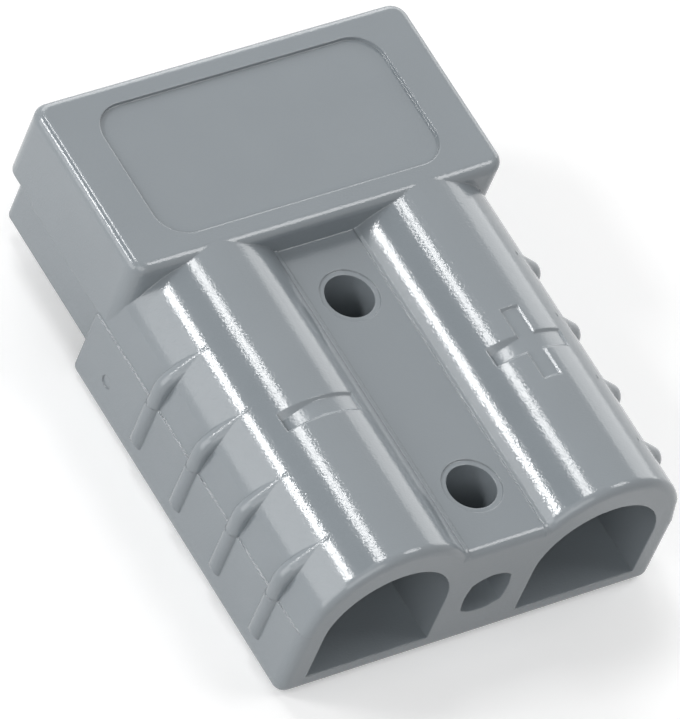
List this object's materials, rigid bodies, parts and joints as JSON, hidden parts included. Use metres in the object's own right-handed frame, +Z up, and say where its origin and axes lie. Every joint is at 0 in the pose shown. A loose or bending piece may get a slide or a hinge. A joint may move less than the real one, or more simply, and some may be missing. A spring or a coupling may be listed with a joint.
{
  "type": "genderless power connector",
  "caption": "Genderless two-pole power connector: grey moulded housing with hooded mating end, side grip ribs, mounting holes, and flat blade contacts on leaf springs.",
  "frame": {"origin": "centre of the bounding box, on the flat underside of the housing", "axes": "+Y from the cable end towards the hooded mating end, +Z up out of the label panel, +X towards the positive pole"},
  "size_m": [0.0378, 0.05, 0.016],
  "materials": {
    "housing_plastic": "glossy injection-moulded polycarbonate, cool mid grey",
    "silver_plate": "silver-plated copper, satin",
    "spring_steel": "stainless spring strip, as rolled"
  },
  "bodies": {
    "root": {"housing": "housing_plastic", "left_contact": "silver_plate", "right_contact": "silver_plate", "left_spring": "spring_steel", "right_spring": "spring_steel"}
  },
  "joints": []
}
